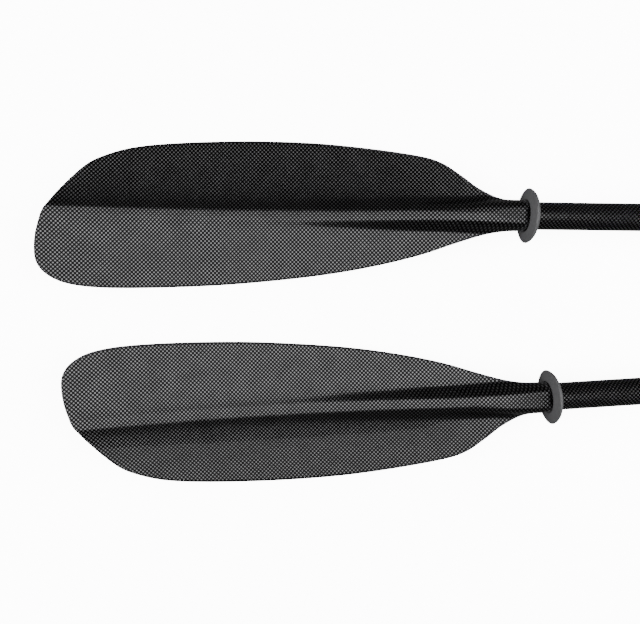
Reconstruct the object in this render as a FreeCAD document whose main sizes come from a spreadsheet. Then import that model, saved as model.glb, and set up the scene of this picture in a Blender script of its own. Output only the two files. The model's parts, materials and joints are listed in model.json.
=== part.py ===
"""Two-piece kayak paddle, taken apart: the two halves lie side by side with their power faces up.

Every half has its own local frame. Its X axis is the shaft's axis and points from the blade to the
ferrule, the drip ring's centre is at X = 0, and +Z leaves the power face. A blade is described by its
station, the distance from the drip ring towards the tip, and by its side offset, which is positive
towards the blade's long edge. The long edges face each other.
"""
import FreeCAD, Part
import math
import os
import Sketcher

V = FreeCAD.Vector
ON_AXIS = 1e-9
LEAST_CUT = 0.5
OVERCUT = 1
doc = FreeCAD.newDocument("kayak_paddle")

# ---------------------------------------------------------------- driving dimensions, millimetres

DIMENSIONS = {
    # layout of the two halves on the ground
    "axis_height": 27.8,
    "right_ring_x": -110.9,
    "right_ring_y": 102.9,
    "left_ring_x": -83.2,
    "left_ring_y": -83.0,
    "left_turn": 3.96,
    # shafts
    "shaft_od": 28,
    "shaft_wall": 1.2,
    "shaft_length": 600,
    "shaft_inset": 44,
    "plug_length": 24,
    # drip ring
    "ring_od": 55.6,
    "ring_hub_od": 34,
    "ring_hub_length": 9,
    "ring_lip": 3.2,
    "ring_play": 0.08,
    # blade
    "core_start": 46,
    "skin": 0.9,
    "edge_thickness": 2.6,
    "edge_width": 7,
    # male ferrule
    "spigot_od": 23.4,
    "spigot_wall": 1.6,
    "spigot_bond": 90,
    "spigot_reach": 92,
    "cap_depth": 14,
    "cap_rim": 3,
    "cap_nose": 1.2,
    "index_ring_bore": 24,
    "index_ring_length": 4,
    "index_notches": 24,
    "index_notch_depth": 0.5,
    "index_notch_width": 1.2,
    # female ferrule
    "socket_bore": 23.5,
    "socket_length": 110,
    "slot_width": 2.4,
    "slot_length": 38,
    "bulkhead_length": 10,
    # lever clamp
    "clamp_od": 36,
    "clamp_length": 24,
    "clamp_setback": 1.5,
    "ear_height": 12,
    "ear_half_width": 8,
    "ear_gap": 3,
    "screw_height": 23.5,
    "screw_od": 5,
    "eye_od": 9,
    "eye_width": 7,
    "screw_tail": 1.6,
    "pin_od": 4,
    "pin_offset": 15.8,
    "cam_radius": 5.6,
    "cam_rise": 1,
    "lever_width": 22,
    "lever_gap": 1.5,
    "lever_arm": 4,
    "lever_slot_play": 0.3,
    "lever_slot_depth": 5,
    "saddle_thickness": 2,
    "nut_od": 13,
    "nut_length": 7,
    "nut_gap": 0.1,
    "nut_knurls": 18,
    "knurl_radius": 0.8,
    "knurl_stand_off": 0.3,
    "fit_play": 0.05,
}

sheet = doc.addObject("Spreadsheet::Sheet", "dims")
for row, (alias, value) in enumerate(DIMENSIONS.items(), start=1):
    sheet.set("A%d" % row, alias)
    sheet.set("B%d" % row, str(value))
    sheet.setAlias("B%d" % row, alias)
doc.recompute()


class Size:
    """A length that knows both its value and the sheet expression it comes from."""

    def __init__(self, value, text):
        self.value = value
        self.text = text

    def joined(self, other, sign, value):
        other_text = other.text if isinstance(other, Size) else repr(other)
        return Size(value, "(%s %s %s)" % (self.text, sign, other_text))

    def __add__(self, other):
        return self.joined(other, "+", self.value + number(other))

    def __sub__(self, other):
        return self.joined(other, "-", self.value - number(other))

    def __mul__(self, other):
        return self.joined(other, "*", self.value * number(other))

    def __truediv__(self, other):
        return self.joined(other, "/", self.value / number(other))

    def __neg__(self):
        return Size(-self.value, "(0 - %s)" % self.text)


def number(size):
    """The plain number of a size."""
    return size.value if isinstance(size, Size) else float(size)


def size(alias):
    """A driving dimension that a sketch or a feature stays bound to."""
    return Size(float(sheet.get(alias)), "dims." + alias)


def dim(alias):
    """A driving dimension's value, for shapes made by Part's functions."""
    return float(sheet.get(alias))


def bind(item, prop, length):
    """Ties a property to its expression in the sheet."""
    item.setExpression(prop, length.text)


# ---------------------------------------------------------------- placements of the two halves

def half_placement(side):
    """The placement of a half: side is "right" or "left"."""
    turn = dim("left_turn") if side == "left" else 0
    place = V(dim(side + "_ring_x"), dim(side + "_ring_y"), dim("axis_height"))
    return FreeCAD.Placement(place, FreeCAD.Rotation(V(0, 0, 1), turn))


LONG_EDGE = {"right": -1, "left": 1}
nodes = []


def finish(item, side):
    """Places a sub-part with its half and keeps it for writing."""
    item.Placement = half_placement(side).multiply(item.Placement)
    nodes.append(item)
    return item


# ---------------------------------------------------------------- PartDesign helpers

def new_body(label):
    item = doc.addObject("PartDesign::Body", label)
    item.Label = label
    return item


def new_sketch(body, name, role):
    """A sketch on one of the body's own origin planes."""
    sketch = body.newObject("Sketcher::SketchObject", name)
    plane = [f for f in body.Origin.OriginFeatures if f.Role == role][0]
    sketch.AttachmentSupport = [(plane, "")]
    sketch.MapMode = "FlatFace"
    return sketch


def tie(sketch, kind, items, length):
    """Adds a dimension whose value stays bound to the sheet."""
    index = sketch.addConstraint(Sketcher.Constraint(kind, *items, number(length)))
    if isinstance(length, Size):
        bind(sketch, "Constraints[%d]" % index, length)


def pin_point(sketch, line, end, x, y):
    """Holds a point of the sketch at x and y."""
    if abs(number(x)) < ON_AXIS:
        sketch.addConstraint(Sketcher.Constraint("PointOnObject", line, end, -2))
    else:
        tie(sketch, "DistanceX", (-1, 1, line, end), x)
    if abs(number(y)) < ON_AXIS:
        sketch.addConstraint(Sketcher.Constraint("PointOnObject", line, end, -1))
    else:
        tie(sketch, "DistanceY", (-1, 1, line, end), y)


def outline(sketch, corners):
    """A closed outline of straight lines through corners."""
    places = [V(number(x), number(y), 0) for x, y in corners]
    lines = []
    for start, end in zip(places, places[1:] + places[:1]):
        lines.append(sketch.addGeometry(Part.LineSegment(start, end), False))
    for this, following in zip(lines, lines[1:] + lines[:1]):
        sketch.addConstraint(Sketcher.Constraint("Coincident", this, 2, following, 1))
    for line, (x, y) in zip(lines, corners):
        pin_point(sketch, line, 1, x, y)


def circle(sketch, x, y, radius):
    centre = V(number(x), number(y), 0)
    index = sketch.addGeometry(Part.Circle(centre, V(0, 0, 1), number(radius)), False)
    pin_point(sketch, index, 3, x, y)
    tie(sketch, "Radius", (index,), radius)


def revolve(body, name, corners):
    """A turned piece: corners are distances along X and out from it, turned fully round X."""
    sketch = new_sketch(body, name + "_profile", "XZ_Plane")
    outline(sketch, corners)
    feature = body.newObject("PartDesign::Revolution", name)
    feature.Profile = sketch
    feature.ReferenceAxis = (sketch, ["H_Axis"])
    feature.Angle = 360
    doc.recompute()
    return feature


def pad(body, name, sketch, length, both_ways=False):
    feature = body.newObject("PartDesign::Pad", name)
    feature.Profile = sketch
    feature.Midplane = both_ways
    bind(feature, "Length", length)
    doc.recompute()
    return feature


def pocket(body, name, sketch, length, reverse=False, both_ways=False):
    """A pocket, which has to take material away."""
    before = body.Shape.Volume
    feature = body.newObject("PartDesign::Pocket", name)
    feature.Profile = sketch
    feature.Midplane = both_ways
    feature.Reversed = reverse
    bind(feature, "Length", length)
    doc.recompute()
    if body.Shape.Volume > before - LEAST_CUT:
        raise RuntimeError(name + " cuts nothing")
    return feature


# ---------------------------------------------------------------- blade surfaces

def blend(stations, values, station):
    """A smooth value along the blade: a monotone cubic through a few hand-set stations."""
    if station <= stations[0]:
        return values[0]
    if station >= stations[-1]:
        return values[-1]
    steps = [b - a for a, b in zip(stations, stations[1:])]
    rises = [(b - a) / step for a, b, step in zip(values, values[1:], steps)]
    slopes = [rises[0]]
    for before, after in zip(rises, rises[1:]):
        same_way = before * after > 0
        slopes.append(2 * before * after / (before + after) if same_way else 0)
    slopes.append(rises[-1])
    place = max(i for i, value in enumerate(stations[:-1]) if value <= station)
    step = steps[place]
    u = (station - stations[place]) / step
    start, end = values[place], values[place + 1]
    return (
        start * (2 * u**3 - 3 * u**2 + 1)
        + end * (3 * u**2 - 2 * u**3)
        + slopes[place] * step * (u**3 - 2 * u**2 + u)
        + slopes[place + 1] * step * (u**3 - u**2)
    )


SPOON_STATIONS = [0, 30, 100, 160, 220, 300, 360, 410, 455, 512]
SPOON_HEIGHTS = [0, 0, -4.4, -9.6, -14.4, -17.6, -16.0, -11.6, -4.6, 7.0]
SPINE_STATIONS = [0, 48, 66, 95, 130, 180, 260, 350, 450, 512]
SPINE_RISE = [15.5, 15.4, 13.2, 9.4, 6.1, 3.5, 1.5, 0.8, 0.3, 0.1]
SPINE_WIDTH = [14.2, 14.2, 13.6, 12.6, 11.8, 11.0, 10.0, 9.0, 8.0, 7.0]
BACK_RISE = [15.5, 14.8, 12.4, 9.4, 6.8, 4.5, 2.6, 2.0, 1.2, 0.8]
SQUARE_STATIONS = [0, 48, 100, 180, 512]
SPINE_SQUARENESS = [5.0, 5.0, 4.4, 3.4, 2.6]
BELLY_STATIONS = [0, 46, 90, 130, 260, 400, 512]
BELLY_DEPTHS = [0, 1.4, 4.4, 6.0, 6.6, 6.6, 6.4]
DIHEDRAL_DEPTH = 5.6
DIHEDRAL_REACH = 30
FLAT_STATIONS = [60, 130, 380, 512]
FLAT_HALF_WIDTHS = [0, 3.6, 3.6, 2.4]
RIDGE_ROUND = 1.6
DIHEDRAL_START = 15
DIHEDRAL_FULL = 130


def spine(station, offset, rises):
    """How far the shaft's line stands proud of the blade at a place."""
    rise = blend(SPINE_STATIONS, rises, station)
    width = blend(SPINE_STATIONS, SPINE_WIDTH, station)
    power = blend(SQUARE_STATIONS, SPINE_SQUARENESS, station)
    return rise * math.exp(-abs(offset / width) ** power)


def power_height(station, offset):
    """The power face: spooned along its length, a dihedral across it, with the spine on top."""
    run = (station - DIHEDRAL_START) / (DIHEDRAL_FULL - DIHEDRAL_START)
    share = blend([0, 1], [0, 1], min(max(run, 0), 1))
    beyond = max(0, abs(offset) - blend(FLAT_STATIONS, FLAT_HALF_WIDTHS, station))
    reach = math.hypot(beyond, RIDGE_ROUND) - RIDGE_ROUND
    fall = share * DIHEDRAL_DEPTH * (1 - math.exp(-reach / DIHEDRAL_REACH))
    spoon = blend(SPOON_STATIONS, SPOON_HEIGHTS, station)
    return spoon - fall + spine(station, offset, SPINE_RISE)


def back_height(station, offset):
    """The back face: the same spoon, nearly flat across, with a lower spine."""
    spoon = blend(SPOON_STATIONS, SPOON_HEIGHTS, station)
    belly = blend(BELLY_STATIONS, BELLY_DEPTHS, station)
    flat = spoon - belly - dim("edge_thickness") / 2 * min(1, station / dim("core_start"))
    return flat - spine(station, offset, BACK_RISE)


GRID_STATIONS = [-6, 10, 30, 46, 56, 68, 82, 100, 120, 145, 175, 210, 250, 290, 330, 370,
                 405, 435, 460, 485, 512]
GRID_OFFSETS = [0, 1.5, 3.2, 4.8, 6.5, 8.5, 10.5, 12.5, 14.5, 16.5, 19, 23, 29, 38, 50, 66, 86]


def height_surface(height, shift):
    """A smooth face through a height function, moved up by shift, in a half's local frame."""
    offsets = [-offset for offset in reversed(GRID_OFFSETS[1:])] + GRID_OFFSETS
    sections = []
    for station in GRID_STATIONS:
        curve = Part.BSplineCurve()
        curve.interpolate([V(-station, v, height(max(station, 0), v) + shift) for v in offsets])
        sections.append(Part.Wire([curve.toShape()]))
    return Part.makeLoft(sections, False, False).Faces[0]


# the blade's outline as station and side offset, from the throat along the long edge to the tip
LONG_SIDE = [(5, 15.6), (24, 16.2), (46, 20.1), (74, 29), (110, 41.3), (160, 53.6), (220, 63.9),
             (300, 72.7), (370, 76.9), (432, 78)]
TIP = [(467, 74.6), (487, 66.2), (497.5, 54), (499.8, 38.6), (497.3, 20), (490.5, 0), (475, -22)]
SHORT_SIDE = [(453, -45.9), (433, -57.9), (404, -67.3), (360, -73.2), (290, -76.6), (220, -75),
              (160, -69), (112, -61.5), (88, -54), (68, -40.8), (50, -27.4), (28, -17.4),
              (5, -15.6)]
OUTLINE_STEP = 2
ABOVE = 60


def blade_outline(side, inset=0):
    """The outline's face, level with the shaft's axis, drawn in by inset all round."""
    turn = LONG_EDGE[side]
    points = [V(-station, turn * offset, 0) for station, offset in LONG_SIDE + TIP + SHORT_SIDE]
    edge = Part.BSplineCurve()
    edge.interpolate(points)
    if inset:
        inward = turn * inset
        tangents = [edge.tangent(edge.parameter(point))[0] for point in points]
        points = [point + V(-way.y, way.x, 0) * inward for point, way in zip(points, tangents)]
        edge.interpolate(points)
    ends = [edge.parameter(point) for point in points[:-1:OUTLINE_STEP]] + [edge.LastParameter]
    stretches = [edge.toShape(start, end) for start, end in zip(ends, ends[1:])]
    mouth = Part.LineSegment(points[-1], points[0])
    return Part.Face(Part.Wire(stretches + [mouth.toShape()]))


def column(face):
    """A tall solid over a level face, reaching above and below every blade surface."""
    solid = face.copy()
    solid.translate(V(0, 0, -ABOVE))
    return solid.extrude(V(0, 0, 2 * ABOVE))


def beyond_throat():
    """A level rectangle over every station past the throat's bonded length."""
    start = -dim("core_start")
    far = start - dim("shaft_length")
    wide = 2 * ABOVE
    corners = [V(start, -wide, 0), V(far, -wide, 0), V(far, wide, 0), V(start, wide, 0)]
    return Part.Face(Part.makePolygon(corners + corners[:1]))


def one_face(shape):
    """The only face of a level shape made by a boolean, facing up."""
    if len(shape.Faces) != 1:
        raise RuntimeError("expected one face, found %d" % len(shape.Faces))
    return shape.Faces[0]


def one_solid(shape):
    """The only solid of a shape made by a boolean."""
    if len(shape.Solids) != 1:
        raise RuntimeError("expected one solid, found %d" % len(shape.Solids))
    return shape.Solids[0]


def add_shape(label, side, shape):
    item = doc.addObject("Part::Feature", label)
    item.Label = label
    item.Shape = one_solid(shape)
    return finish(item, side)


def make_blade(side):
    """The two skins, the core, the edge band and the throat bond of one blade."""
    skin = dim("skin")
    outer_face = blade_outline(side)
    core_face = blade_outline(side, dim("edge_width")).common(beyond_throat())
    edge_face = outer_face.common(beyond_throat()).cut(core_face)
    whole = column(outer_face)
    power = height_surface(power_height, 0).extrude(V(0, 0, -skin))
    back = height_surface(back_height, 0).extrude(V(0, 0, skin))
    add_shape(side + "_power_skin", side, power.common(whole))
    add_shape(side + "_back_skin", side, back.common(whole))
    under = height_surface(power_height, -skin).extrude(V(0, 0, -ABOVE))
    over = height_surface(back_height, skin).extrude(V(0, 0, ABOVE))
    filling = under.common(over)
    add_shape(side + "_foam_core", side, filling.common(column(one_face(core_face))))
    add_shape(side + "_edge_band", side, filling.common(column(one_face(edge_face))))
    throat_face = outer_face.cut(beyond_throat())
    throat = filling.common(column(one_face(throat_face)))
    start = V(-dim("core_start"), 0, 0)
    bore = Part.makeCylinder(dim("shaft_od") / 2, dim("core_start"), start, V(1, 0, 0))
    add_shape(side + "_throat_bond", side, throat.cut(bore))


# ---------------------------------------------------------------- shafts and drip rings

def slot_at_mouth(body, mouth):
    """A clamping slot through the top wall, from the mouth inwards."""
    sketch = new_sketch(body, "slot_outline", "XY_Plane")
    half = size("slot_width") / 2
    start = mouth - size("slot_length")
    end = mouth + OVERCUT
    outline(sketch, [(start, -half), (end, -half), (end, half), (start, half)])
    pocket(body, "slot", sketch, size("shaft_od"), reverse=True)


def make_shaft(side):
    body = new_body(side + "_shaft")
    sketch = new_sketch(body, "tube_rings", "YZ_Plane")
    circle(sketch, 0, 0, size("shaft_od") / 2)
    circle(sketch, 0, 0, size("shaft_od") / 2 - size("shaft_wall"))
    length = size("shaft_length") + size("shaft_inset")
    pad(body, "tube", sketch, length)
    if side == "right":
        slot_at_mouth(body, length)
    body.Placement.Base = V(-dim("shaft_inset"), 0, 0)
    finish(body, side)


def make_throat_plug(side):
    plug = doc.addObject("Part::Cylinder", side + "_throat_plug")
    plug.Label = side + "_throat_plug"
    bind(plug, "Radius", size("shaft_od") / 2 - size("shaft_wall"))
    bind(plug, "Height", size("plug_length"))
    plug.Placement = FreeCAD.Placement(V(-dim("shaft_inset"), 0, 0), FreeCAD.Rotation(V(0, 1, 0), 90))
    finish(plug, side)


def make_drip_ring(side):
    """A lens-shaped rubber disc on a hub that grips the shaft."""
    body = new_body(side + "_drip_ring")
    bore = size("shaft_od") / 2 + size("ring_play")
    hub = size("ring_hub_od") / 2
    rim = size("ring_od") / 2
    half_hub = size("ring_hub_length") / 2
    half_lip = size("ring_lip") / 2
    tread = half_lip / 2
    revolve(body, "disc", [
        (-half_hub, bore), (half_hub, bore), (half_hub, hub), (half_lip, rim - 1), (tread, rim),
        (-tread, rim), (-half_lip, rim - 1), (-half_hub, hub)])
    finish(body, side)


# ---------------------------------------------------------------- male ferrule on the left half

def make_spigot():
    body = new_body("ferrule_spigot")
    bonded = size("shaft_od") / 2 - size("shaft_wall")
    seat = size("index_ring_bore") / 2
    outer = size("spigot_od") / 2
    inner = outer - size("spigot_wall")
    start = size("shaft_length") - size("spigot_bond")
    shoulder = size("shaft_length")
    ring_end = shoulder + size("index_ring_length")
    end = shoulder + size("spigot_reach")
    revolve(body, "stepped_tube", [
        (start, inner), (end, inner), (end, outer), (ring_end, outer), (ring_end, seat),
        (shoulder, seat), (shoulder, bonded), (start, bonded)])
    finish(body, "left")


def make_spigot_cap():
    body = new_body("spigot_cap")
    outer = size("spigot_od") / 2
    inner = outer - size("spigot_wall")
    end = size("shaft_length") + size("spigot_reach")
    nose = end + size("cap_rim")
    revolve(body, "bung", [
        (end - size("cap_depth"), 0), (nose, 0), (nose, outer - size("cap_nose")),
        (nose - size("cap_nose"), outer), (end, outer), (end, inner),
        (end - size("cap_depth"), inner)])
    finish(body, "left")


def make_index_ring():
    """The ring against the left shaft's end, with an even row of plain division notches."""
    body = new_body("feather_index_ring")
    bore = size("index_ring_bore") / 2
    outer = size("shaft_od") / 2
    revolve(body, "ring", [
        (0, bore), (size("index_ring_length"), bore), (size("index_ring_length"), outer), (0, outer)])
    sketch = new_sketch(body, "notch_outline", "YZ_Plane")
    half = size("index_notch_width") / 2
    floor = outer - size("index_notch_depth")
    outline(sketch, [(-half, floor), (half, floor), (half, outer + OVERCUT), (-half, outer + OVERCUT)])
    notch = pocket(body, "notch", sketch, size("index_ring_length") / 2, reverse=True)
    pattern = body.newObject("PartDesign::PolarPattern", "notches")
    pattern.Originals = [notch]
    pattern.Axis = (sketch, ["N_Axis"])
    pattern.Angle = 360
    bind(pattern, "Occurrences", size("index_notches"))
    body.Tip = pattern
    body.Placement.Base = V(dim("shaft_length"), 0, 0)
    finish(body, "left")


# ---------------------------------------------------------------- female ferrule on the right half

def make_socket_sleeve():
    body = new_body("socket_sleeve")
    sketch = new_sketch(body, "sleeve_rings", "YZ_Plane")
    circle(sketch, 0, 0, size("shaft_od") / 2 - size("shaft_wall"))
    circle(sketch, 0, 0, size("socket_bore") / 2)
    pad(body, "sleeve", sketch, size("socket_length"))
    slot_at_mouth(body, size("socket_length"))
    body.Placement.Base = V(dim("shaft_length") - dim("socket_length"), 0, 0)
    finish(body, "right")


def make_socket_bulkhead():
    bung = doc.addObject("Part::Cylinder", "socket_bulkhead")
    bung.Label = "socket_bulkhead"
    bind(bung, "Radius", size("shaft_od") / 2 - size("shaft_wall"))
    bind(bung, "Height", size("bulkhead_length"))
    start = dim("shaft_length") - dim("socket_length") - dim("bulkhead_length")
    bung.Placement = FreeCAD.Placement(V(start, 0, 0), FreeCAD.Rotation(V(0, 1, 0), 90))
    finish(bung, "right")


def clamp_middle():
    """How far along the half the clamp's middle plane is."""
    return dim("shaft_length") - dim("clamp_setback") - dim("clamp_length") / 2


def make_clamp_collar():
    """The slotted collar with the two ears that the screw draws together."""
    body = new_body("clamp_collar")
    length = size("clamp_length")
    ring = new_sketch(body, "collar_outline", "YZ_Plane")
    circle(ring, 0, 0, size("clamp_od") / 2)
    pad(body, "collar", ring, length, both_ways=True)
    ears = new_sketch(body, "ear_outline", "YZ_Plane")
    side = size("ear_half_width")
    top = size("clamp_od") / 2 + size("ear_height")
    outline(ears, [(-side, 0), (side, 0), (side, top), (-side, top)])
    pad(body, "ears", ears, length, both_ways=True)
    bore = new_sketch(body, "bore_outline", "YZ_Plane")
    circle(bore, 0, 0, size("shaft_od") / 2)
    pocket(body, "bore", bore, length + 2 * OVERCUT, both_ways=True)
    gap = new_sketch(body, "gap_outline", "YZ_Plane")
    half = size("ear_gap") / 2
    outline(gap, [(-half, 0), (half, 0), (half, top + OVERCUT), (-half, top + OVERCUT)])
    pocket(body, "gap", gap, length + 2 * OVERCUT, both_ways=True)
    hole = new_sketch(body, "screw_hole_outline", "XZ_Plane")
    circle(hole, 0, size("screw_height"), size("screw_od") / 2 + size("fit_play"))
    pocket(body, "screw_hole", hole, size("clamp_od"), both_ways=True)
    bored = body.Tip
    corners = []
    for index, edge in enumerate(bored.Shape.Edges, start=1):
        middle = edge.CenterOfMass
        along = abs(edge.tangentAt(edge.FirstParameter).x) > 0.99
        if along and middle.z > top.value - 0.1 and abs(middle.y) > side.value - 0.1:
            corners.append("Edge%d" % index)
    fillet = body.newObject("PartDesign::Fillet", "ear_corners")
    fillet.Base = (bored, corners)
    bind(fillet, "Radius", size("ear_half_width") / 3)
    body.Tip = fillet
    body.Placement.Base = V(clamp_middle(), 0, 0)
    finish(body, "right")


def make_clamp_screw():
    """The draw screw across the ears, with a cross eye at its lever end."""
    end = -(size("ear_half_width") + size("nut_length") + size("screw_tail"))
    shank = doc.addObject("Part::Cylinder", "screw_shank")
    bind(shank, "Radius", size("screw_od") / 2)
    bind(shank, "Height", size("pin_offset") - end)
    shank.Placement = FreeCAD.Placement(V(0, end.value, 0), FreeCAD.Rotation(V(1, 0, 0), -90))
    eye = doc.addObject("Part::Cylinder", "screw_eye")
    bind(eye, "Radius", size("eye_od") / 2)
    bind(eye, "Height", size("eye_width"))
    across = FreeCAD.Rotation(V(0, 1, 0), 90)
    eye.Placement = FreeCAD.Placement(V(-dim("eye_width") / 2, dim("pin_offset"), 0), across)
    blank = doc.addObject("Part::Fuse", "screw_blank")
    blank.Base = shank
    blank.Tool = eye
    drill = doc.addObject("Part::Cylinder", "eye_drill")
    bind(drill, "Radius", size("pin_od") / 2 + size("fit_play"))
    bind(drill, "Height", size("eye_width") * 2)
    drill.Placement = FreeCAD.Placement(V(-dim("eye_width"), dim("pin_offset"), 0), across)
    screw = doc.addObject("Part::Cut", "clamp_screw")
    screw.Label = "clamp_screw"
    screw.Base = blank
    screw.Tool = drill
    screw.Placement.Base = V(clamp_middle(), 0, dim("screw_height"))
    finish(screw, "right")


def make_cam_saddle():
    """The hard pad that the cam bears on, with a clearance hole for the screw."""
    body = new_body("cam_saddle")
    sketch = new_sketch(body, "saddle_outline", "XZ_Plane")
    half = size("lever_width") / 2
    tall = size("eye_od") / 2
    outline(sketch, [(-half, -tall), (half, -tall), (half, tall), (-half, tall)])
    circle(sketch, 0, 0, size("screw_od") / 2 + size("fit_play"))
    pad(body, "saddle", sketch, size("saddle_thickness"))
    outer_face = dim("ear_half_width") + dim("saddle_thickness")
    body.Placement.Base = V(clamp_middle(), outer_face, dim("screw_height"))
    finish(body, "right")


# the lever's side view: what is cut from its ring to leave the arm, as shares of the collar's diameter,
# and where the arm meets the head, as shares of the arm's radii and of the cam's
ARM_CUT = [(0, 0), (0.82, 0.57), (0.82, 1.2), (-1, 1.2), (-1, -1), (0.64, -1), (0.32, -0.38)]
LINK_INNER = (0.80, 0.55)
LINK_OUTER = (0.84, 0.50)
LINK_HEEL = 0.8


def make_cam_lever():
    """The lever: an eccentric head on the pin, and an arm that hugs the collar."""
    body = new_body("cam_lever")
    width = size("lever_width")
    inner = size("clamp_od") / 2 + size("lever_gap")
    outer = inner + size("lever_arm")
    arm = new_sketch(body, "arm_rings", "YZ_Plane")
    circle(arm, 0, 0, outer)
    circle(arm, 0, 0, inner)
    pad(body, "arm_ring", arm, width, both_ways=True)
    spare = new_sketch(body, "spare_outline", "YZ_Plane")
    reach = size("clamp_od")
    outline(spare, [(reach * y, reach * z) for y, z in ARM_CUT])
    pocket(body, "arm_only", spare, width + 2 * OVERCUT, both_ways=True)
    link = new_sketch(body, "link_outline", "YZ_Plane")
    pin_y = size("pin_offset")
    pin_z = size("screw_height")
    outline(link, [
        (inner * LINK_INNER[0], inner * LINK_INNER[1]), (outer * LINK_OUTER[0], outer * LINK_OUTER[1]),
        (pin_y + size("cam_radius") * LINK_HEEL, pin_z), (pin_y - size("cam_radius") / 2, pin_z)])
    pad(body, "link", link, width, both_ways=True)
    head = new_sketch(body, "head_outline", "YZ_Plane")
    eccentric = size("cam_rise") / 2
    circle(head, pin_y - eccentric, pin_z, size("cam_radius") - eccentric)
    pad(body, "head", head, width, both_ways=True)
    slot = new_sketch(body, "eye_slot_outline", "XY_Plane")
    half = size("eye_width") / 2 + size("lever_slot_play")
    far = pin_y + size("eye_od")
    near = pin_y - size("eye_od")
    outline(slot, [(-half, near), (half, near), (half, far), (-half, far)])
    bed = pin_z - size("lever_slot_depth")
    slot.AttachmentOffset = FreeCAD.Placement(V(0, 0, bed.value), FreeCAD.Rotation())
    pocket(body, "eye_slot", slot, size("clamp_od"), reverse=True)
    hole = new_sketch(body, "pin_hole_outline", "YZ_Plane")
    circle(hole, pin_y, pin_z, size("pin_od") / 2)
    pocket(body, "pin_hole", hole, width + 2 * OVERCUT, both_ways=True)
    body.Placement.Base = V(clamp_middle(), 0, 0)
    finish(body, "right")


def make_lever_pin():
    pin = doc.addObject("Part::Cylinder", "lever_pin")
    pin.Label = "lever_pin"
    bind(pin, "Radius", size("pin_od") / 2)
    bind(pin, "Height", size("lever_width"))
    place = V(clamp_middle() - dim("lever_width") / 2, dim("pin_offset"), dim("screw_height"))
    pin.Placement = FreeCAD.Placement(place, FreeCAD.Rotation(V(0, 1, 0), 90))
    finish(pin, "right")


def make_adjuster_nut():
    """A knurled nut on the screw's free end, turned by hand to set the clamp's pull."""
    body = new_body("adjuster_nut")
    sketch = new_sketch(body, "nut_outline", "XZ_Plane")
    circle(sketch, 0, 0, size("nut_od") / 2)
    circle(sketch, 0, 0, size("screw_od") / 2 + size("fit_play"))
    pad(body, "nut", sketch, size("nut_length"))
    groove = new_sketch(body, "groove_outline", "XZ_Plane")
    circle(groove, 0, size("nut_od") / 2 + size("knurl_stand_off"), size("knurl_radius"))
    cut = pocket(body, "groove", groove, size("nut_length") + 2 * OVERCUT, reverse=True)
    pattern = body.newObject("PartDesign::PolarPattern", "grooves")
    pattern.Originals = [cut]
    pattern.Axis = (groove, ["N_Axis"])
    pattern.Angle = 360
    bind(pattern, "Occurrences", size("nut_knurls"))
    body.Tip = pattern
    body.Placement.Base = V(clamp_middle(), -dim("ear_half_width") - dim("nut_gap"), dim("screw_height"))
    finish(body, "right")


# ---------------------------------------------------------------- build, check and write

for half in ("right", "left"):
    make_blade(half)
    make_shaft(half)
    make_throat_plug(half)
    make_drip_ring(half)
make_spigot()
make_spigot_cap()
make_index_ring()
make_socket_sleeve()
make_socket_bulkhead()
make_clamp_collar()
make_clamp_screw()
make_cam_saddle()
make_cam_lever()
make_lever_pin()
make_adjuster_nut()
doc.recompute()

for item in doc.Objects:
    if "Invalid" in item.State or "Error" in item.State:
        raise RuntimeError(item.Label + " is " + ", ".join(item.State))
for item in nodes:
    if item.Shape.isNull() or not item.Shape.isValid() or item.Shape.Volume <= 0:
        raise RuntimeError(item.Label + " has no sound shape")

os.makedirs("parts", exist_ok=True)
for item in nodes:
    item.Shape.exportStep(os.path.join("parts", item.Label + ".step"))
    print("%-20s %10.1f mm3" % (item.Label, item.Shape.Volume))
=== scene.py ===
"""Looks of a two-piece carbon kayak paddle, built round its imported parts.

Each half of the paddle has its own local frame: X runs along the shaft from the blade to the ferrule,
the drip ring's centre is the zero, and Z leaves the power face. On a blade, station is the distance
from the ring towards the tip and offset is the distance from the ridge, positive on the long edge's
side. Lengths are in metres, except in the shape of a blade and the profile of a ring, which are in
millimetres.
"""
import json
import math
from bisect import bisect_right

import bpy
from mathutils import Matrix, Vector


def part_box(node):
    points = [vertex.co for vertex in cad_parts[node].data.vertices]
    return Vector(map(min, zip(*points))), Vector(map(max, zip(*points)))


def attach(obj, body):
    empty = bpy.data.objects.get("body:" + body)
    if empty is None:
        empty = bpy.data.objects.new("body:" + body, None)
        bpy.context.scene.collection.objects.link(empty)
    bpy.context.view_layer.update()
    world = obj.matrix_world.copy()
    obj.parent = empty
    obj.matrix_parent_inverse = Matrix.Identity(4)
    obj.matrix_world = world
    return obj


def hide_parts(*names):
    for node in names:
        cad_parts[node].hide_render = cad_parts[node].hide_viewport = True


bl_info = {
    "name": "Carbon kayak paddle",
    "version": (1, 0, 0),
    "blender": (4, 5, 0),
    "location": "View3D > Sidebar > Paddle",
    "description": "Woven blades, rubber rings, ferrule and studio of a two-piece kayak paddle",
    "category": "Object",
}

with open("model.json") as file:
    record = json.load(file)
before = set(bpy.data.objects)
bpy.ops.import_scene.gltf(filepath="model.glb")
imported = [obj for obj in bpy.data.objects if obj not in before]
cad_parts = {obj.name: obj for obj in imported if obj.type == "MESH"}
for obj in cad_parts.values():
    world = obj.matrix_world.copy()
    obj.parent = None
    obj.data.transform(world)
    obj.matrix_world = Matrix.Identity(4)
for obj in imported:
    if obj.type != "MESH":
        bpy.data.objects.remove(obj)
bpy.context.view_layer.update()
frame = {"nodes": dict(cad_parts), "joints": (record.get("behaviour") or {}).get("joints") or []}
MM = 0.001
WELD = 0.01 * MM  # points closer than this are merged
NOISE_MIDDLE = {"From Min": 0.3, "From Max": 0.7}  # where nearly all of a noise's values lie
SIDES = ("right", "left")
LONG_EDGE = {"right": -1, "left": 1}  # the side of the ridge that has the long edge, along a half's Y


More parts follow.
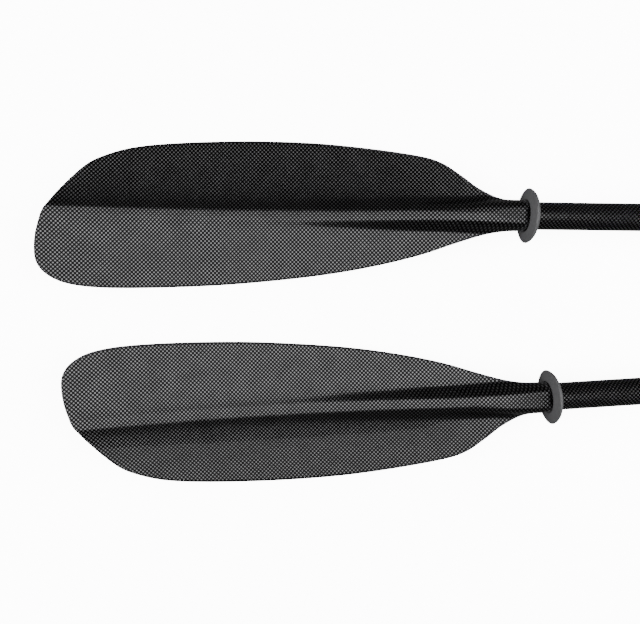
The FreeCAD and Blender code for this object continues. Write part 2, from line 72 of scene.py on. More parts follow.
def middle_of(node):
    """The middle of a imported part's box at rest."""
    low, high = (Vector(corner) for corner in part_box(node))
    return (low + high) / 2


def half_height(node):
    """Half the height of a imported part's box, which is the radius of a part that lies on its side."""
    low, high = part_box(node)
    return (high[2] - low[2]) / 2


def joint(name):
    """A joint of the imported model, by its name."""
    return [item for item in frame["joints"] if item["name"] == name][0]


# Where each half lies: its zero, the way from its blade to its ferrule, and both as one transform.
RING_CENTRE = {side: middle_of(side + "_drip_ring") for side in SIDES}
SHAFT_WAY = {side: Vector(joint(side + "_ring_slide")["axis"]).normalized() for side in SIDES}
SHAFT_TURN = {side: math.atan2(SHAFT_WAY[side].y, SHAFT_WAY[side].x) for side in SIDES}
PLACE = {
    side: Matrix.Translation(RING_CENTRE[side]) @ Matrix.Rotation(SHAFT_TURN[side], 4, "Z")
    for side in SIDES
}
SHAFT_RADIUS = half_height("right_shaft")
RING_RADIUS = half_height("right_drip_ring")


# ---------------------------------------------------------------- settings a user would change

class PaddleFinish(bpy.types.PropertyGroup):
    """Colours and weave of the paddle."""

    tow_width: bpy.props.FloatProperty(
        name="Tow width", description="Width of one carbon tow in the plain weave",
        default=2.03 * MM, min=0.5 * MM, max=5 * MM, unit="LENGTH", precision=5)
    tow_colour: bpy.props.StringProperty(
        name="Bright tow", description="Colour of a tow that faces the light, as sRGB hex",
        default="DDDEE0")
    # Painted shade: the lengthwise tows are the same carbon as the crosswise ones, painted this near black
    # as the shade that their glint misses.
    shaded_tow_colour: bpy.props.StringProperty(
        name="Dark tow", description="Colour of a tow that runs away from the light, as sRGB hex",
        default="0B0B0C")
    rubber_colour: bpy.props.StringProperty(
        name="Rubber", description="Colour of the drip rings, as sRGB hex", default="3A3A3B")


class PaddleShape(bpy.types.PropertyGroup):
    """Sizes of the detailed pieces."""

    ridge_round: bpy.props.FloatProperty(
        name="Ridge rounding", description="How softly the ridge along the blade is rounded",
        default=1.5 * MM, unit="LENGTH", precision=5)
    rim_thickness: bpy.props.FloatProperty(
        name="Rim thickness", description="Thickness of the blade at its rounded rim",
        default=2.7 * MM, unit="LENGTH", precision=5)
    rows: bpy.props.IntProperty(
        name="Rows", description="Rows of faces along a blade", default=220, min=40, max=400)
    columns: bpy.props.IntProperty(
        name="Columns", description="Faces across each side of the ridge", default=34, min=12, max=60)


class StudioSettings(bpy.types.PropertyGroup):
    """Camera and light."""

    lens: bpy.props.FloatProperty(
        name="Lens", description="Focal length on a 36 mm sensor", default=31.5, min=10, max=200)
    camera_height: bpy.props.FloatProperty(
        name="Camera height", description="Height of the camera over the shafts",
        default=0.5703, unit="LENGTH")
    overhead_power: bpy.props.FloatProperty(
        name="Overhead light", description="Power of the soft light over the blades, in watts",
        default=3.3)
    side_power: bpy.props.FloatProperty(
        name="Side lights", description="Power of each soft light at the ends of the table, in watts",
        default=120.0)
    glow_power: bpy.props.FloatProperty(
        name="End glow", description="Power of each wide dim light that the clear coat mirrors, in watts",
        default=12.0)


# ---------------------------------------------------------------- small helpers

def settings():
    """The scene, which holds the property groups of the paddle."""
    return bpy.context.scene


def linear(hex_colour):
    """An sRGB hex colour as linear red, green, blue and alpha."""
    parts = [int(hex_colour[i:i + 2], 16) / 255 for i in (0, 2, 4)]
    return [p / 12.92 if p <= 0.04045 else ((p + 0.055) / 1.055) ** 2.4 for p in parts] + [1.0]


def clear_selection():
    """Leaves edit mode and deselects every object."""
    if bpy.context.object and bpy.context.object.mode != "OBJECT":
        bpy.ops.object.mode_set(mode="OBJECT")
    bpy.ops.object.select_all(action="DESELECT")


def node(tree, kind, values=None, links=None, **attributes):
    """Adds a node, with settings, socket values by name or number, and links into its sockets."""
    new = tree.nodes.new(kind)
    for name, value in attributes.items():
        setattr(new, name, value)
    for socket, value in (values or {}).items():
        new.inputs[socket].default_value = value
    for socket, source in (links or {}).items():
        tree.links.new(source, new.inputs[socket])
    return new


def new_material(name):
    """A material with a Principled shader: returns the material, its tree and the shader."""
    material = bpy.data.materials.new(name)
    material.use_nodes = True
    return material, material.node_tree, material.node_tree.nodes["Principled BSDF"]


def put_on(material, *objects):
    """Makes a material the only one of each object."""
    for item in objects:
        item.data.materials.clear()
        item.data.materials.append(material)


def packed(*names):
    """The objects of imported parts, by their names."""
    return [frame["nodes"][name] for name in names]


def weld(open_end_sides=0):
    """Merges the doubles of the mesh in edit mode, closes its open ends and turns its faces outwards.
    An open end is closed if its loop has at most the given number of edges."""
    bpy.ops.mesh.select_all(action="SELECT")
    bpy.ops.mesh.remove_doubles(threshold=WELD)
    if open_end_sides:
        bpy.ops.mesh.fill_holes(sides=open_end_sides)
    bpy.ops.mesh.normals_make_consistent(inside=False)


def lay_on_half(piece, side):
    """Moves a blade's mesh from local coordinates to its half, mirrored if its long edge is at -Y."""
    if LONG_EDGE[side] < 0:
        piece.data.transform(Matrix.Scale(-1, 4, (0, 1, 0)))
    piece.data.transform(PLACE[side])


# ---------------------------------------------------------------- materials

def half_coordinates(tree, side):
    """Object coordinates turned and moved into a half's own frame."""
    place = node(tree, "ShaderNodeTexCoord")
    return node(
        tree, "ShaderNodeMapping", vector_type="TEXTURE",
        values={"Location": RING_CENTRE[side], "Rotation": (0, 0, SHAFT_TURN[side])},
        links={"Vector": place.outputs["Object"]}).outputs["Vector"]


def noise(tree, scale, detail, roughness=0.5, vector=None):
    """A noise texture's value, on object coordinates unless another vector is given."""
    if vector is None:
        vector = node(tree, "ShaderNodeTexCoord").outputs["Object"]
    return node(
        tree, "ShaderNodeTexNoise", {"Scale": scale, "Detail": detail, "Roughness": roughness},
        {"Vector": vector}).outputs["Fac"]


def spread(tree, value, low, high, source=None):
    """Maps a value from its source range, 0 to 1 unless given, to low and high."""
    return node(
        tree, "ShaderNodeMapRange", {**(source or {}), "To Min": low, "To Max": high},
        {"Value": value}).outputs["Result"]


def emboss(tree, shader, height, strength, depth):
    """Raises the surface by a bump of the given depth."""
    bump = node(tree, "ShaderNodeBump", {"Strength": strength, "Distance": depth}, {"Height": height})
    tree.links.new(bump.outputs[0], shader.inputs["Normal"])


def shade(tree, shader, colour, tone):
    """Colours the shader with an sRGB hex colour whose brightness follows a tone near 1."""
    shaded = node(
        tree, "ShaderNodeVectorMath", {0: linear(colour)[:3]}, {"Scale": tone}, operation="SCALE")
    tree.links.new(shaded.outputs[0], shader.inputs["Base Color"])


def wave(tree, value, width):
    """A sine that changes sign once in every width."""
    turns = node(tree, "ShaderNodeMath", {1: math.pi / width}, {0: value}, operation="MULTIPLY")
    return node(tree, "ShaderNodeMath", links={0: turns.outputs[0]}, operation="SINE").outputs[0]


LENGTHWISE_TOW = 1.025  # width of the lengthwise tows, as a share of the crosswise tows' width
DOT_RANGE = {"From Min": 0.02, "From Max": 0.62}  # from a dot's dark edge to its bright middle
MOTTLE_TOWS = 9  # tows to one patch of the cloth's unevenness


def woven_carbon(side, wrapped):
    """Carbon cloth in plain weave under clear epoxy: black, with a bright dot wherever a crosswise tow lies
    on top.
    The weave is real, but the dots' contrast is partly painted light: both tows are the same glossy carbon,
    and the lengthwise tows are painted near black as shade, so only the crosswise tows glint under the
    lamps.
    Wrapped cloth follows a tube round its axis, flat cloth lies over a blade."""
    finish = settings().paddle_finish
    kind = "shaft" if wrapped else "blade"
    material, tree, shader = new_material("Plain weave carbon, clear coated, %s %s" % (side, kind))
    tow = finish.tow_width
    local = half_coordinates(tree, side)
    axes = node(tree, "ShaderNodeSeparateXYZ", links={0: local})
    across = axes.outputs["Y"]
    if wrapped:
        angle = node(
            tree, "ShaderNodeMath", links={0: across, 1: axes.outputs["Z"]}, operation="ARCTAN2")
        around = node(
            tree, "ShaderNodeMath", {1: SHAFT_RADIUS}, {0: angle.outputs[0]}, operation="MULTIPLY")
        across = around.outputs[0]
    along_wave = wave(tree, axes.outputs["X"], tow)
    across_wave = wave(tree, across, tow * LENGTHWISE_TOW)
    checks = node(
        tree, "ShaderNodeMath", links={0: along_wave, 1: across_wave}, operation="MULTIPLY")
    dots = node(
        tree, "ShaderNodeMapRange", DOT_RANGE, {"Value": checks.outputs[0]},
        interpolation_type="SMOOTHSTEP").outputs["Result"]
    mottle = noise(tree, 1 / (MOTTLE_TOWS * tow), detail=3.0, roughness=0.6, vector=local)
    uneven = spread(tree, mottle, 0.72, 1.0, NOISE_MIDDLE)
    strength = node(tree, "ShaderNodeMath", links={0: dots, 1: uneven}, operation="MULTIPLY")
    # Painted shade: the crosswise tows get a bright metal that glints under the lamps, and the lengthwise
    # tows get the near black that stands for their shade.
    colour = node(
        tree, "ShaderNodeMix", {"A": linear(finish.shaded_tow_colour), "B": linear(finish.tow_colour)},
        data_type="RGBA")
    tree.links.new(strength.outputs[0], colour.inputs[0])
    tree.links.new(colour.outputs[2], shader.inputs["Base Color"])
    emboss(tree, shader, dots, strength=0.25, depth=0.2 * MM)
    shader.inputs["Metallic"].default_value = 1.0
    shader.inputs["Roughness"].default_value = 0.28
    shader.inputs["Coat Weight"].default_value = 1.0
    shader.inputs["Coat Roughness"].default_value = 0.03
    shader.inputs["Coat IOR"].default_value = 1.35
    return material


def resin_edge():
    """Resin-rich edge laminate: near black, with a gloss that varies where it was sanded."""
    material, tree, shader = new_material("Black epoxy edge laminate")
    sanding = noise(tree, 160.0, detail=3.0)
    tree.links.new(spread(tree, sanding, 0.16, 0.34), shader.inputs["Roughness"])
    shader.inputs["Base Color"].default_value = linear("1E1E20")
    shader.inputs["IOR"].default_value = 1.55
    return material


def moulded_rubber():
    """Moulded EPDM: dull dark grey with the faint unevenness of a mould skin."""
    material, tree, shader = new_material("Moulded EPDM rubber")
    skin = noise(tree, 420.0, detail=4.0, roughness=0.65)
    shade(tree, shader, settings().paddle_finish.rubber_colour, spread(tree, skin, 0.82, 1.1, NOISE_MIDDLE))
    emboss(tree, shader, skin, strength=0.35, depth=0.05 * MM)
    shader.inputs["Roughness"].default_value = 0.55
    shader.inputs["IOR"].default_value = 1.52
    return material


def grained_plastic(name, colour, roughness, grain):
    """Plastic, foam, laminate or adhesive with a fine grain of the given size."""
    material, tree, shader = new_material(name)
    pits = noise(tree, 1 / grain, detail=3.0, roughness=0.7)
    shade(tree, shader, colour, spread(tree, pits, 0.85, 1.12, NOISE_MIDDLE))
    emboss(tree, shader, pits, strength=0.3, depth=0.06 * MM)
    shader.inputs["Roughness"].default_value = roughness
    return material


def worked_metal(name, colour, roughness, squeeze):
    """Metal with tool marks: noise squeezed along one axis, so that the marks run across it."""
    material, tree, shader = new_material(name)
    place = node(tree, "ShaderNodeTexCoord")
    drawn = node(tree, "ShaderNodeMapping", {"Scale": squeeze}, {"Vector": place.outputs["Object"]})
    marks = noise(tree, 900.0, detail=4.0, roughness=0.6, vector=drawn.outputs[0])
    tree.links.new(
        spread(tree, marks, roughness - 0.08, roughness + 0.12), shader.inputs["Roughness"])
    shader.inputs["Base Color"].default_value = linear(colour)
    emboss(tree, shader, marks, strength=0.2, depth=0.02 * MM)
    shader.inputs["Metallic"].default_value = 1.0
    return material


# ---------------------------------------------------------------- the shape of a blade, in millimetres

def blend(points, station):
    """A smooth value along the blade through given (station, value) points."""
    stations = [p[0] for p in points]
    values = [p[1] for p in points]
    if station <= stations[0]:
        return values[0]
    if station >= stations[-1]:
        return values[-1]
    steps = [b - a for a, b in zip(stations, stations[1:])]
    rises = [(b - a) / step for a, b, step in zip(values, values[1:], steps)]
    slopes = [rises[0]]
    for before, after in zip(rises, rises[1:]):
        slopes.append(2 * before * after / (before + after) if before * after > 0 else 0)
    slopes.append(rises[-1])
    i = bisect_right(stations, station) - 1
    u = (station - stations[i]) / steps[i]
    return (
        values[i] * (2 * u**3 - 3 * u**2 + 1) + values[i + 1] * (3 * u**2 - 2 * u**3)
        + slopes[i] * steps[i] * (u**3 - 2 * u**2 + u) + slopes[i + 1] * steps[i] * (u**3 - u**2))


# The ridge's height: it dips between the throat and the tip, which makes the blade a spoon.
SPOON = [(0, 0), (30, 0), (100, -4.4), (160, -9.6), (220, -14.4), (300, -17.6), (360, -16.0),
         (410, -11.6), (455, -4.6), (512, 7.0)]
# The spine carries the shaft's line out into the blade: its rise on the power face and on the back,
# its half width, and how square its section is (2 is a bell, 7 is nearly flat on top).
SPINE_RISE = [(0, 15.5), (48, 15.4), (66, 13.2), (95, 9.4), (130, 6.0), (160, 3.9), (190, 2.6),
              (260, 0.9), (350, 0.6), (450, 0.3), (512, 0.1)]
BACK_RISE = [(0, 15.5), (48, 14.8), (66, 12.4), (95, 9.4), (130, 6.8), (180, 4.5), (260, 2.6),
             (350, 2.0), (450, 1.2), (512, 0.8)]
SPINE_WIDTH = [(0, 15.2), (40, 14.6), (66, 13.6), (95, 12.6), (130, 11.8), (180, 11.0), (260, 10.0),
               (450, 8.0)]
SPINE_SQUARENESS = [(0, 7), (40, 6), (100, 4.4), (180, 3.6), (300, 3), (512, 2.6)]
# How far the flat of the back lies below the ridge, not counting half the rim's thickness.
BELLY = [(0, 0), (46, 1.4), (90, 4.4), (130, 6.0), (260, 6.6), (400, 6.6), (512, 6.4)]
FULL_RIM = 46  # the station from which the rim has its whole thickness
# The dihedral: past a narrow flat on the ridge, both sides of the power face fall away by a depth,
# nearly two thirds of it within the reach. Its share grows from the throat.
DIHEDRAL_DEPTH = 5.6
DIHEDRAL_REACH = 24
DIHEDRAL_SHARE = [(15, 0), (72, 0.5), (130, 1)]
RIDGE_FLAT = [(60, 0), (130, 4.2), (380, 4.2), (512, 2.8)]
# The outline as (station, offset) points from the throat to the tip.
LONG_SIDE = [(1.4, 15.6), (24, 16.2), (46, 20.1), (74, 29), (110, 41.3), (160, 53.6), (220, 63.9),
             (300, 72.7), (370, 76.9), (432, 78), (467, 74.6), (487, 66.2), (497.5, 54), (499.8, 38.6),
             (497.3, 20), (490.5, 0)]
SHORT_SIDE = [(1.4, -15.6), (28, -17.4), (50, -27.4), (68, -40.8), (88, -54), (112, -61.5),
              (160, -69), (220, -75), (290, -76.6), (360, -73.2), (404, -67.3), (433, -57.9),
              (453, -45.9), (475, -22), (490.5, 0)]
STEPS_PER_SPAN = 24  # fine points between two points of an outline


def spine(station, offset, rises):
    """How far the shaft's line stands proud of the blade."""
    width = blend(SPINE_WIDTH, station)
    squareness = blend(SPINE_SQUARENESS, station)
    return blend(rises, station) * math.exp(-abs(offset / width) ** squareness)


def power_height(station, offset, ridge_round):
    """The power face: spooned along, a dihedral across, with the spine on top."""
    beyond = max(0.0, abs(offset) - blend(RIDGE_FLAT, station))
    reach = math.hypot(beyond, ridge_round) - ridge_round
    fall = blend(DIHEDRAL_SHARE, station) * DIHEDRAL_DEPTH * (1 - math.exp(-reach / DIHEDRAL_REACH))
    return blend(SPOON, station) - fall + spine(station, offset, SPINE_RISE)


def back_height(station, offset, rim):
    """The back face: flat across, with a spine that fades out more slowly."""
    flat = blend(SPOON, station) - blend(BELLY, station) - rim / 2 * min(1, station / FULL_RIM)
    return flat - spine(station, offset, BACK_RISE)


def rounded_path(points):
    """A smooth curve through points, as fine points and the share of its length up to each."""
    places = [Vector((x, y)) for x, y in points]
    ends = [2 * places[0] - places[1]] + places + [2 * places[-1] - places[-2]]
    fine = []
    for a, b, c, d in zip(ends, ends[1:], ends[2:], ends[3:]):
        for step in range(STEPS_PER_SPAN):
            u = step / STEPS_PER_SPAN
            fine.append(0.5 * (2 * b + (c - a) * u + (2 * a - 5 * b + 4 * c - d) * u**2
                               + (3 * b - a - 3 * c + d) * u**3))
    fine.append(places[-1])
    lengths = [0.0]
    for a, b in zip(fine, fine[1:]):
        lengths.append(lengths[-1] + (b - a).length)
    return fine, [length / lengths[-1] for length in lengths]


def on_path(path, share):
    """The point at a share of a path's length."""
    fine, shares = path
    low = min(max(bisect_right(shares, share) - 1, 0), len(shares) - 2)
    span = shares[low + 1] - shares[low]
    return fine[low].lerp(fine[low + 1], (share - shares[low]) / span)


# ---------------------------------------------------------------- pieces

class PADDLE_OT_blades(bpy.types.Operator):
    """Builds the two blades as smooth closed shells with rounded rims"""

    bl_idname = "paddle.blades"
    bl_label = "Blades"

    RIDGE_LIMITS = (0.04, 0.96)  # the ridge's column stays within these shares of a row
    EVEN_COLUMNS = 0.45  # how far the columns are evenly spaced, against crowded
    TIP_CROWDING = 0.35  # how far the rows crowd together at the tip
    THROAT_EASE = 0.9  # below 1, the first rows at the throat stand further apart

    def row_share(self, row, rows):
        """How far along the outline a row starts and ends."""
        crowded = math.sin(row / rows * math.pi / 2) ** self.THROAT_EASE
        return self.TIP_CROWDING * crowded + (1 - self.TIP_CROWDING) * row / rows

    def row_points(self, short, long, columns):
        """Points across one row, closer together at the ridge and at both rims."""
        ridge = -short.y / (long.y - short.y) if short.y < 0 < long.y else 0.5
        ridge = min(max(ridge, self.RIDGE_LIMITS[0]), self.RIDGE_LIMITS[1])
        points = []
        for column in range(2 * columns + 1):
            u = column / columns - 1
            crowded = (1 - math.cos(math.pi * abs(u))) / 2
            reach = self.EVEN_COLUMNS * abs(u) + (1 - self.EVEN_COLUMNS) * crowded
            share = ridge * (1 - reach) if u < 0 else ridge + (1 - ridge) * reach
            points.append(short.lerp(long, share))
        return points

    def sheet(self, name, rows, columns, height_at):
        """A grid of rows and columns moved to the blade's plan and to a face's height."""
        clear_selection()
        bpy.ops.mesh.primitive_grid_add(x_subdivisions=rows, y_subdivisions=2 * columns, size=2)
        sheet = bpy.context.object
        sheet.name = name
        long_path, short_path = rounded_path(LONG_SIDE), rounded_path(SHORT_SIDE)
        rim_points = long_path[0] + short_path[0]
        shares = [self.row_share(row, rows) for row in range(rows + 1)]
        grid = [self.row_points(on_path(short_path, share), on_path(long_path, share), columns)
                for share in shares]
        for vertex in sheet.data.vertices:
            row = round((vertex.co.x + 1) / 2 * rows)
            column = round((vertex.co.y + 1) / 2 * 2 * columns)
            place = grid[row][column]
            on_rim = row in (0, rows) or column in (0, 2 * columns)
            distance = 0.0 if on_rim else min((place - point).length for point in rim_points)
            vertex.co = (-place.x * MM, place.y * MM, height_at(place.x, place.y, distance) * MM)
        return sheet

    def blade(self, side):
        """The two faces of a blade, welded along the rim."""
        shape = settings().paddle_shape
        rim = shape.rim_thickness / MM
        ridge = shape.ridge_round / MM

        def swell(distance):
            """The rim's round section: 0 on the outline and 1 from half the rim's thickness inwards."""
            inside = min(distance / (rim / 2), 1)
            return math.sqrt(max(0.0, 1 - (1 - inside) ** 2))

        def power_face(station, offset, distance):
            top = power_height(station, offset, ridge)
            middle = (top + back_height(station, offset, rim)) / 2
            return middle + (top - middle) * swell(distance)

        def back_face(station, offset, distance):
            bottom = back_height(station, offset, rim)
            middle = (power_height(station, offset, ridge) + bottom) / 2
            return middle + (bottom - middle) * swell(distance)

        shell = self.sheet(side + "_blade_shell", shape.rows, shape.columns, power_face)
        back = self.sheet(side + "_blade_back", shape.rows, shape.columns, back_face)
        bpy.ops.object.mode_set(mode="EDIT")
        bpy.ops.mesh.select_all(action="SELECT")
        bpy.ops.mesh.flip_normals()
        clear_selection()
        back.select_set(True)
        shell.select_set(True)
        bpy.context.view_layer.objects.active = shell
        bpy.ops.object.join()
        lay_on_half(shell, side)
        bpy.ops.object.mode_set(mode="EDIT")
        weld()
        bpy.ops.object.mode_set(mode="OBJECT")
        bpy.ops.object.shade_smooth()
        return shell

    def execute(self, context):
        for side in SIDES:
            shell = self.blade(side)
            put_on(woven_carbon(side, wrapped=False), shell)
            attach(shell, side + "_half")
            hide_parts(side + "_power_skin", side + "_back_skin")
        return {"FINISHED"}


class PADDLE_OT_edge_beads(bpy.types.Operator):
    """Runs a smooth bead of resin-rich laminate round the rim of each blade"""

    bl_idname = "paddle.edge_beads"
    bl_label = "Edge beads"

    ALONG = 520  # faces along a bead
    AROUND = 10  # faces round it
    TAPER = 0.03  # the share of its length over which it grows thick at each end
    END_RADIUS = 0.2  # its radius at the ends, as a share of the whole
    OVERHANG = 0.25  # how far it stands out past the outline, in millimetres

    def bead(self, side):
        """A round bead along the whole outline, from one side of the throat to the other."""
        shape = settings().paddle_shape
        radius = shape.rim_thickness / MM / 2
        ridge = shape.ridge_round / MM
        step = 0.5 / self.ALONG
        long_path, short_path = rounded_path(LONG_SIDE), rounded_path(SHORT_SIDE)

        def outline_at(share):
            """Out along the long side in the first half, back along the short side in the second."""
            return on_path(long_path, 2 * share) if share < 0.5 else on_path(short_path, 2 - 2 * share)

        clear_selection()
        bpy.ops.mesh.primitive_grid_add(x_subdivisions=self.ALONG, y_subdivisions=self.AROUND, size=2)
        bead = bpy.context.object
        bead.name = side + "_blade_edge"
        for vertex in bead.data.vertices:
            share = (vertex.co.x + 1) / 2
            angle = math.pi * (vertex.co.y + 1)
            way = (outline_at(min(share + step, 1)) - outline_at(max(share - step, 0))).normalized()
            inward = Vector((way.y, -way.x))
            from_end = 0.5 - abs(share - 0.5)
            thickness = radius * min(1, from_end / self.TAPER + self.END_RADIUS)
            centre = outline_at(share) + inward * (radius - self.OVERHANG)
            top = power_height(centre.x, centre.y, ridge)
            bottom = back_height(centre.x, centre.y, 2 * radius)
            place = centre + inward * thickness * math.cos(angle)
            height = (top + bottom) / 2 + thickness * math.sin(angle)
            vertex.co = (-place.x * MM, place.y * MM, height * MM)
        lay_on_half(bead, side)
        bpy.ops.object.mode_set(mode="EDIT")
        weld(open_end_sides=2 * self.AROUND)
        bpy.ops.object.mode_set(mode="OBJECT")
        bpy.ops.object.shade_smooth()
        return bead

    def execute(self, context):
        resin = resin_edge()
        for side in SIDES:
            bead = self.bead(side)
            put_on(resin, bead)
            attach(bead, side + "_half")
            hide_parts(side + "_edge_band")
        return {"FINISHED"}


class PADDLE_OT_drip_rings(bpy.types.Operator):
    """Turns the two rubber drip rings: a hub on the shaft and a dished disc with a rounded rim"""

    bl_idname = "paddle.drip_rings"
    bl_label = "Drip rings"

    # distance along the shaft and radius, in millimetres, from the bore round by the blade's side
    PROFILE = [(-0.2, 14.1), (-0.5, 15.8), (-2.9, 15.9), (-3.5, 16.1), (-3.9, 16.7), (-4.0, 17.6),
               (-3.8, 19.4), (-3.2, 22.2), (-2.4, 25.2), (-1.7, 27.2), (-1.3, 27.8), (-0.9, 27.7),
               (0.6, 26.8), (2.4, 25.0), (3.5, 23.0), (4.1, 20.6), (4.4, 18.4), (4.5, 16.4), (4.5, 14.1)]
    SEGMENTS = 96
    SHARPEST_ROUND = 40  # degrees between two faces, past which the edge between them is a sharp one

    def ring(self, side):
        """A turned ring: its profile as a loop of points, spun about the shaft's axis."""
        clear_selection()
        bpy.ops.mesh.primitive_circle_add(vertices=len(self.PROFILE), radius=RING_RADIUS)
        ring = bpy.context.object
        ring.name = side + "_drip_ring_rubber"
        for vertex, (x, radius) in zip(ring.data.vertices, self.PROFILE):
            vertex.co = (x * MM, 0, radius * MM)
        bpy.ops.object.mode_set(mode="EDIT")
        bpy.ops.mesh.select_all(action="SELECT")
        bpy.ops.mesh.spin(steps=self.SEGMENTS, angle=2 * math.pi, center=(0, 0, 0), axis=(1, 0, 0))
        weld()
        bpy.ops.object.mode_set(mode="OBJECT")
        ring.data.transform(PLACE[side])
        bpy.ops.object.shade_smooth_by_angle(angle=math.radians(self.SHARPEST_ROUND))
        return ring

    def execute(self, context):
        rubber = moulded_rubber()
        for side in SIDES:
            ring = self.ring(side)
            put_on(rubber, ring)
            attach(ring, side + "_ring")
            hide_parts(side + "_drip_ring")
        return {"FINISHED"}


class PADDLE_OT_shafts(bpy.types.Operator):
    """Gives the two shafts their wrapped carbon cloth"""

    bl_idname = "paddle.shafts"
    bl_label = "Shafts"

    def execute(self, context):
        for side in SIDES:
            put_on(woven_carbon(side, wrapped=True), *packed(side + "_shaft"))
        return {"FINISHED"}


class PADDLE_OT_hidden_parts(bpy.types.Operator):
    """Finishes the foam, adhesive and laminate parts that sit inside"""

    bl_idname = "paddle.hidden_parts"
    bl_label = "Inner parts"

    def execute(self, context):
        foam = grained_plastic("Closed-cell PVC foam", "D8CFB4", roughness=0.85, grain=1.2 * MM)
        glue = grained_plastic("Filled epoxy adhesive", "26272A", roughness=0.45, grain=2.5 * MM)
        glass = grained_plastic(
            "Glass laminate, black pigmented", "1C1D1F", roughness=0.3, grain=1.5 * MM)
        for side in SIDES:
            put_on(foam, *packed(side + "_foam_core", side + "_throat_plug"))
            put_on(glue, *packed(side + "_throat_bond", side + "_edge_band"))
        put_on(foam, *packed("socket_bulkhead"))
        put_on(glass, *packed("ferrule_spigot", "socket_sleeve"))
        return {"FINISHED"}


class PADDLE_OT_ferrule(bpy.types.Operator):
    """Finishes the clamp, lever, screw, nut, cap and index ring of the joint"""

    bl_idname = "paddle.ferrule"
    bl_label = "Ferrule and clamp"

    def execute(self, context):
        nylon = grained_plastic(
            "Glass-filled nylon, moulded black", "17181A", roughness=0.5, grain=0.5 * MM)
        acetal = grained_plastic("Acetal, moulded grey", "8C9094", roughness=0.42, grain=0.8 * MM)
        steel = worked_metal("Stainless steel, turned", "B9BAB8", roughness=0.3, squeeze=(1, 12, 1))
        alloy = worked_metal("Aluminium, grey anodised", "5A5D61", roughness=0.38, squeeze=(1, 8, 1))
        put_on(nylon, *packed("clamp_collar", "cam_lever", "spigot_cap"))
        put_on(acetal, *packed("feather_index_ring"))
        put_on(steel, *packed("clamp_screw", "cam_saddle", "lever_pin"))
        put_on(alloy, *packed("adjuster_nut"))
        return {"FINISHED"}


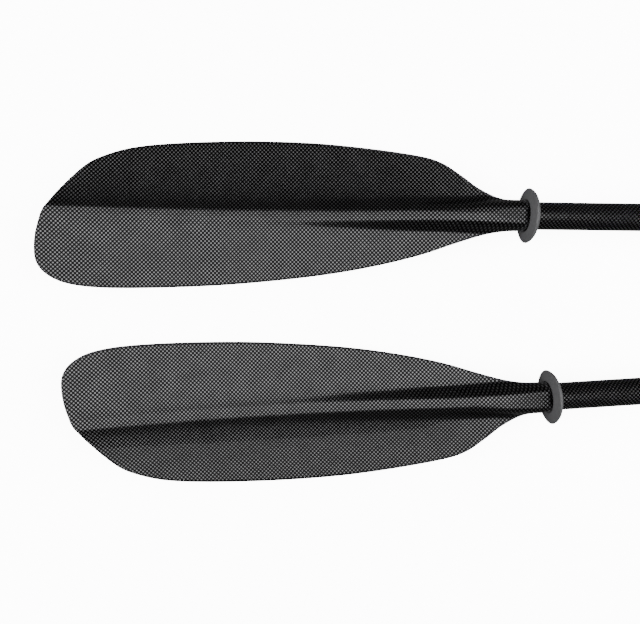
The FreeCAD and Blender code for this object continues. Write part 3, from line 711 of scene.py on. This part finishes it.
class PADDLE_OT_studio(bpy.types.Operator):
    """Lays the pale floor and sets the soft lights and the camera"""

    bl_idname = "paddle.studio"
    bl_label = "Studio"

    FLOOR_HALF = 30.0
    FLOOR_GLOW = 10.0  # strength of the floor's own light, which keeps it an even white
    BLADES_MIDDLE = Vector((-0.25, 0, 0))  # from the point halfway between the rings
    # Places of the lights from the middle of the blades, and their sizes. The last two stand at both
    # ends of the table, so their X is the distance to either side.
    OVERHEAD_PLACE, OVERHEAD_SIZE = (0, -0.18, 1.3), (1.6, 1.12)
    BOX_PLACE, BOX_SIZE = (1.7, 0, 1.0), (1.4, 1.6)
    GLOW_PLACE, GLOW_SIZE = (2.3, 0, 0.85), (3.0, 1.0)
    ROOM_LIGHT = 0.05
    SENSOR_WIDTH = 36  # in millimetres, as the lens
    CLIP_START = 0.01
    CAMERA_TURN = (-2.233, -1.373, 0.613)  # degrees about X, Y and Z
    CAMERA_SHIFT = Vector((-0.2253, -0.0783, 0))  # from the right ring's centre

    def floor(self):
        """White paper that glows. The paddle neither mirrors it nor is lit by it."""
        clear_selection()
        bpy.ops.mesh.primitive_plane_add(size=2 * self.FLOOR_HALF, location=(0, 0, 0))
        floor = bpy.context.object
        floor.name = "studio_floor"
        paper, tree, shader = new_material("White backdrop paper")
        shader.inputs["Base Color"].default_value = linear("FFFFFF")
        shader.inputs["Emission Color"].default_value = linear("FFFFFF")
        shader.inputs["Emission Strength"].default_value = self.FLOOR_GLOW
        shader.inputs["Roughness"].default_value = 0.9
        put_on(paper, floor)
        floor.visible_glossy = False
        floor.visible_diffuse = False

    def light(self, name, place, towards, size, power):
        """A rectangular soft light at a place, turned towards a point."""
        data = bpy.data.lights.new(name, "AREA")
        data.shape = "RECTANGLE"
        data.size, data.size_y = size
        data.energy = power
        lamp = bpy.data.objects.new(name, data)
        bpy.context.scene.collection.objects.link(lamp)
        lamp.location = place
        lamp.rotation_euler = (towards - place).to_track_quat("-Z", "Y").to_euler()
        return lamp

    def lights(self, studio):
        """One light over the blades, and a strong and a dim one at each end of the table."""
        middle = (RING_CENTRE["right"] + RING_CENTRE["left"]) / 2 + self.BLADES_MIDDLE
        x, y, height = self.OVERHEAD_PLACE
        self.light("overhead_box", middle + Vector((x, y, height)), middle + Vector((x, y, 0)),
                   self.OVERHEAD_SIZE, studio.overhead_power)
        for way, name in ((-1, "west"), (1, "east")):
            x, y, height = self.BOX_PLACE
            box = self.light(name + "_box", middle + Vector((way * x, y, height)), middle,
                             self.BOX_SIZE, studio.side_power)
            box.visible_glossy = False  # fills the dull rubber and plastic, not the clear coat
            x, y, height = self.GLOW_PLACE
            self.light(name + "_glow", middle + Vector((way * x, y, height)), middle,
                       self.GLOW_SIZE, studio.glow_power)

    def room(self):
        """A world that is nearly dark."""
        world = bpy.data.worlds.new("Dim room")
        world.use_nodes = True
        background = world.node_tree.nodes["Background"]
        background.inputs["Color"].default_value = (1, 1, 1, 1)
        background.inputs["Strength"].default_value = self.ROOM_LIGHT
        bpy.context.scene.world = world

    def camera(self, studio):
        """The camera over the blades, looking almost straight down."""
        data = bpy.data.cameras.new("camera")
        data.lens = studio.lens
        data.sensor_width = self.SENSOR_WIDTH
        data.clip_start = self.CLIP_START
        camera = bpy.data.objects.new("camera", data)
        bpy.context.scene.collection.objects.link(camera)
        camera.location = (
            RING_CENTRE["right"] + self.CAMERA_SHIFT + Vector((0, 0, studio.camera_height)))
        camera.rotation_euler = [math.radians(angle) for angle in self.CAMERA_TURN]
        bpy.context.scene.camera = camera

    def execute(self, context):
        studio = settings().paddle_studio
        self.floor()
        self.lights(studio)
        self.room()
        self.camera(studio)
        return {"FINISHED"}


class PADDLE_PT_panel(bpy.types.Panel):
    """The paddle's pieces in the sidebar"""

    bl_label = "Kayak paddle"
    bl_idname = "PADDLE_PT_panel"
    bl_space_type = "VIEW_3D"
    bl_region_type = "UI"
    bl_category = "Paddle"

    def draw(self, context):
        column = self.layout.column()
        for group in (context.scene.paddle_finish, context.scene.paddle_shape, context.scene.paddle_studio):
            for name in group.bl_rna.properties.keys():
                if name not in ("rna_type", "name"):
                    column.prop(group, name)
        for operator in OPERATORS:
            column.operator(operator.bl_idname)


GROUPS = {"paddle_finish": PaddleFinish, "paddle_shape": PaddleShape, "paddle_studio": StudioSettings}
OPERATORS = (PADDLE_OT_studio, PADDLE_OT_blades, PADDLE_OT_edge_beads, PADDLE_OT_shafts,
             PADDLE_OT_drip_rings, PADDLE_OT_hidden_parts, PADDLE_OT_ferrule)


def register():
    for item in (*GROUPS.values(), *OPERATORS, PADDLE_PT_panel):
        bpy.utils.register_class(item)
    for name, group in GROUPS.items():
        setattr(bpy.types.Scene, name, bpy.props.PointerProperty(type=group))


def unregister():
    for name in GROUPS:
        delattr(bpy.types.Scene, name)
    for item in reversed((*GROUPS.values(), *OPERATORS, PADDLE_PT_panel)):
        bpy.utils.unregister_class(item)


def main():
    register()
    bpy.ops.paddle.studio()
    bpy.ops.paddle.blades()
    bpy.ops.paddle.edge_beads()
    bpy.ops.paddle.shafts()
    bpy.ops.paddle.drip_rings()
    bpy.ops.paddle.hidden_parts()
    bpy.ops.paddle.ferrule()


if __name__ == "__main__":
    main()
